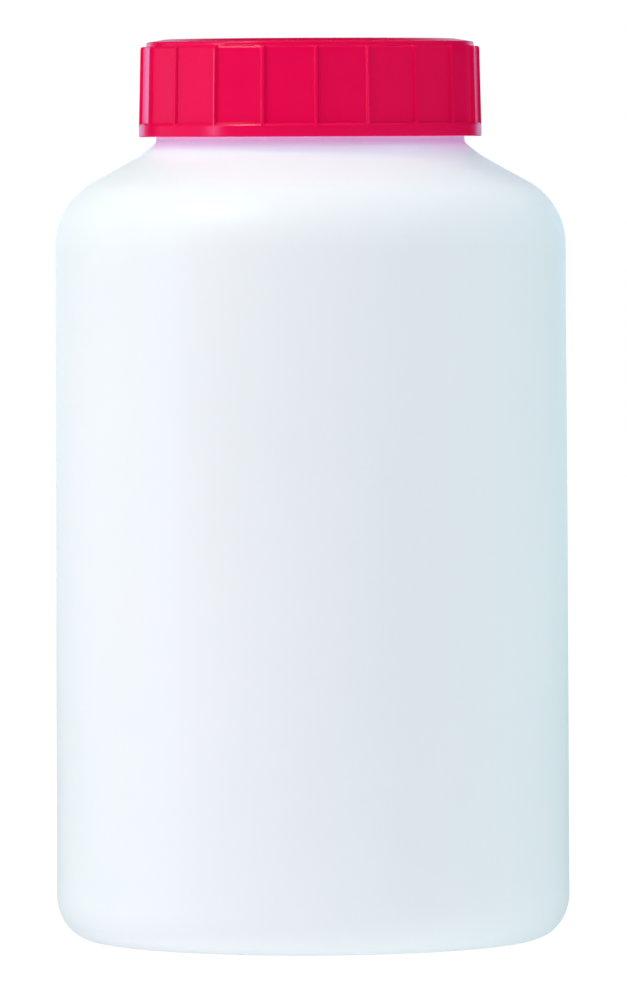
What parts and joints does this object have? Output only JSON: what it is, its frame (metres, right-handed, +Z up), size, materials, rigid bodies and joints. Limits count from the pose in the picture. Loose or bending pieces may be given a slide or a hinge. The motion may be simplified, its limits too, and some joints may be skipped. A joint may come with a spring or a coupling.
{
  "type": "wide-mouth reagent bottle with screw cap",
  "caption": "Round wide-mouth plastic reagent bottle with a rounded shoulder and a ribbed red screw cap that holds a foam sealing wad.",
  "frame": {"origin": "centre of the plane the bottle stands on, on the bottle's axis", "axes": "+Z up along the bottle's axis; -Y faces the viewer in the front view, +X to the viewer's right"},
  "size_m": [0.0982, 0.0982, 0.1722],
  "materials": {
    "body_hdpe": "natural milky-white blow-moulded polyethylene, satin, very fine grain",
    "cap_pp": "injection-moulded crimson red polypropylene, semi-gloss",
    "liner_foam": "white closed-cell foamed polyethylene, matt"
  },
  "bodies": {
    "bottle": {"bottle_body": "body_hdpe"},
    "liner": {"cap_liner": "liner_foam"},
    "cap": {"screw_cap": "cap_pp"}
  },
  "joints": [
    {"name": "cap_lift", "type": "slide", "parent": "bottle", "child": "liner", "axis": [0, 0, 1], "range_m": [0, 0.0072]},
    {"name": "cap_turn", "type": "hinge", "parent": "liner", "child": "cap", "pos_m": [0, 0, 0.1625], "axis": [0, 0, 1], "range_deg": [0, 576.5]}
  ],
  "couplings": [
    {"joint": "cap_turn", "follows": "cap_lift", "rad_per_m": 1396.3}
  ]
}
